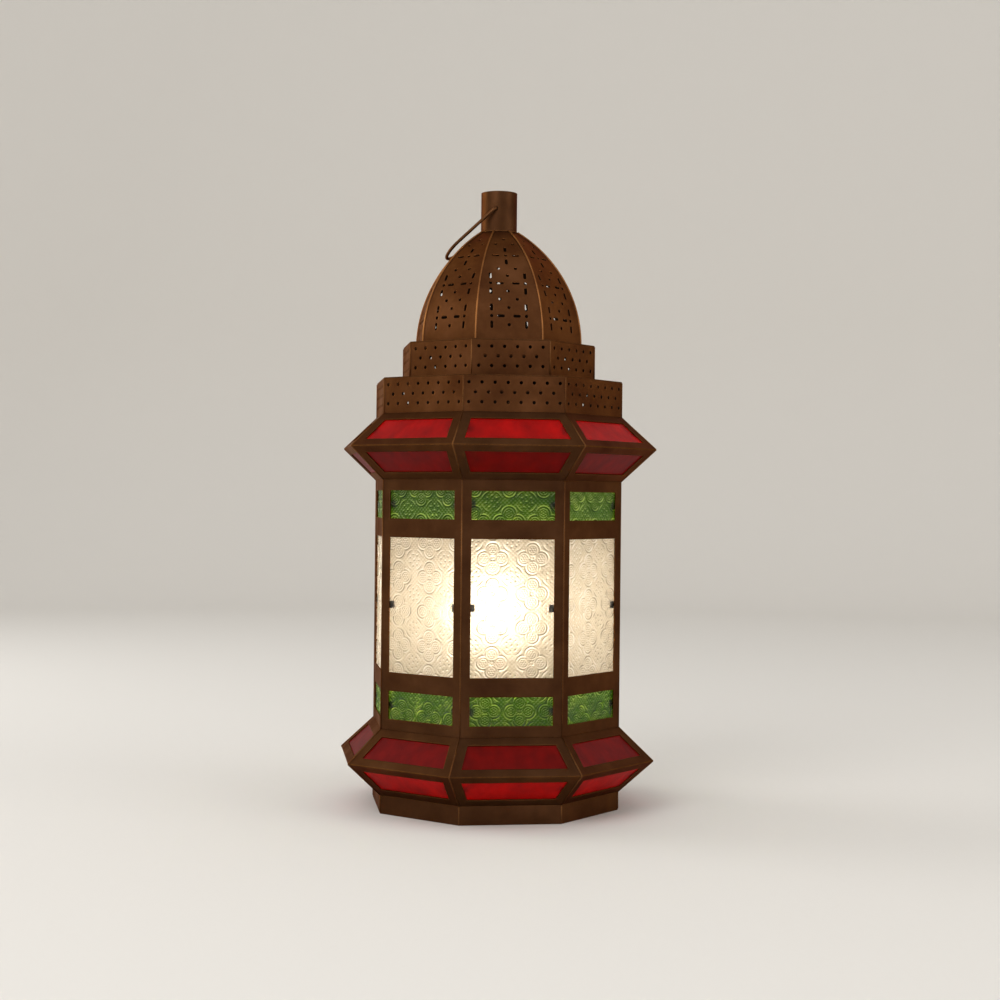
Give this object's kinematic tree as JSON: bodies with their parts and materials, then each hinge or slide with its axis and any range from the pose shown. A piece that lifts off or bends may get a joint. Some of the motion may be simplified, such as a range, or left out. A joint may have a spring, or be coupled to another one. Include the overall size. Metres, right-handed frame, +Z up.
{
  "type": "candle lantern",
  "caption": "Octagonal sheet-iron candle lantern with flared collars of red panes, green and clear embossed panes, a punched dome, a back door and a swinging wire bail.",
  "frame": {"origin": "centre of the base on the surface it stands on", "axes": "+Z up along the lantern's axis, -Y the front face, +Y the door at the back"},
  "size_m": [0.232, 0.232, 0.475],
  "materials": {
    "aged_iron_sheet": "aged bronze brown, satin",
    "iron_wire": "aged brown, satin",
    "red_glass": "smooth, translucent",
    "green_glass": "pressed pattern, translucent",
    "clear_glass": "pressed pattern, translucent",
    "steel_pin": "drawn",
    "brass_latch": "aged",
    "candle_wax": "matte wax",
    "cotton_wick": "charred"
  },
  "bodies": {
    "root": {"base_skirt": "aged_iron_sheet", "base_plate": "aged_iron_sheet", "drip_pan": "aged_iron_sheet", "pan_rivets": "aged_iron_sheet", "candle_socket": "aged_iron_sheet", "lower_collar_bottom_frames": "aged_iron_sheet", "lower_collar_top_frames": "aged_iron_sheet", "lower_collar_clips": "aged_iron_sheet", "upper_collar_bottom_frames": "aged_iron_sheet", "upper_collar_top_frames": "aged_iron_sheet", "upper_collar_clips": "aged_iron_sheet", "body_clips": "aged_iron_sheet", "lower_tier_panels": "aged_iron_sheet", "lower_tier_deck": "aged_iron_sheet", "upper_tier_panels": "aged_iron_sheet", "upper_tier_deck": "aged_iron_sheet", "neck_tube": "aged_iron_sheet", "hinge_frame_leaves": "aged_iron_sheet", "body_frame_front": "aged_iron_sheet", "body_frame_front_right": "aged_iron_sheet", "body_frame_right": "aged_iron_sheet", "body_frame_back_right": "aged_iron_sheet", "body_frame_back_left": "aged_iron_sheet", "body_frame_left": "aged_iron_sheet", "body_frame_front_left": "aged_iron_sheet", "dome_gore_front": "aged_iron_sheet", "dome_gore_front_right": "aged_iron_sheet", "dome_gore_right": "aged_iron_sheet", "dome_gore_back_right": "aged_iron_sheet", "dome_gore_back": "aged_iron_sheet", "dome_gore_back_left": "aged_iron_sheet", "dome_gore_left": "aged_iron_sheet", "dome_gore_front_left": "aged_iron_sheet", "lower_collar_bottom_panes": "red_glass", "lower_collar_top_panes": "red_glass", "upper_collar_bottom_panes": "red_glass", "upper_collar_top_panes": "red_glass", "upper_green_panes": "green_glass", "lower_green_panes": "green_glass", "clear_pane_front": "clear_glass", "clear_pane_front_right": "clear_glass", "clear_pane_right": "clear_glass", "clear_pane_back_right": "clear_glass", "clear_pane_back_left": "clear_glass", "clear_pane_left": "clear_glass", "clear_pane_front_left": "clear_glass", "hinge_pins": "steel_pin"},
    "door": {"door_frame": "aged_iron_sheet", "door_clear_pane": "clear_glass", "door_upper_green_pane": "green_glass", "door_lower_green_pane": "green_glass", "door_clips": "aged_iron_sheet", "hinge_door_leaves": "aged_iron_sheet"},
    "latch": {"latch_knob": "brass_latch", "latch_tongue": "brass_latch"},
    "bail": {"bail_handle": "iron_wire"},
    "candle": {"candle": "candle_wax", "wick": "cotton_wick"}
  },
  "joints": [
    {"name": "door_hinge", "type": "hinge", "parent": "root", "child": "door", "pos_m": [0.03865, 0.0933, 0.15725], "axis": [0, 0, -1], "range_deg": [0, 110]},
    {"name": "latch_turn", "type": "hinge", "parent": "door", "child": "latch", "pos_m": [-0.03349, 0.091, 0.21475], "axis": [0, 1, 0], "range_deg": [0, 90]},
    {"name": "bail_swing", "type": "hinge", "parent": "root", "child": "bail", "pos_m": [0, 0, 0.4615], "axis": [0.309, 0.9511, 0], "range_deg": [0, 263.3]},
    {"name": "candle_lift", "type": "slide", "parent": "root", "child": "candle", "axis": [0, 0, 1], "range_m": [0, 0.03]}
  ]
}
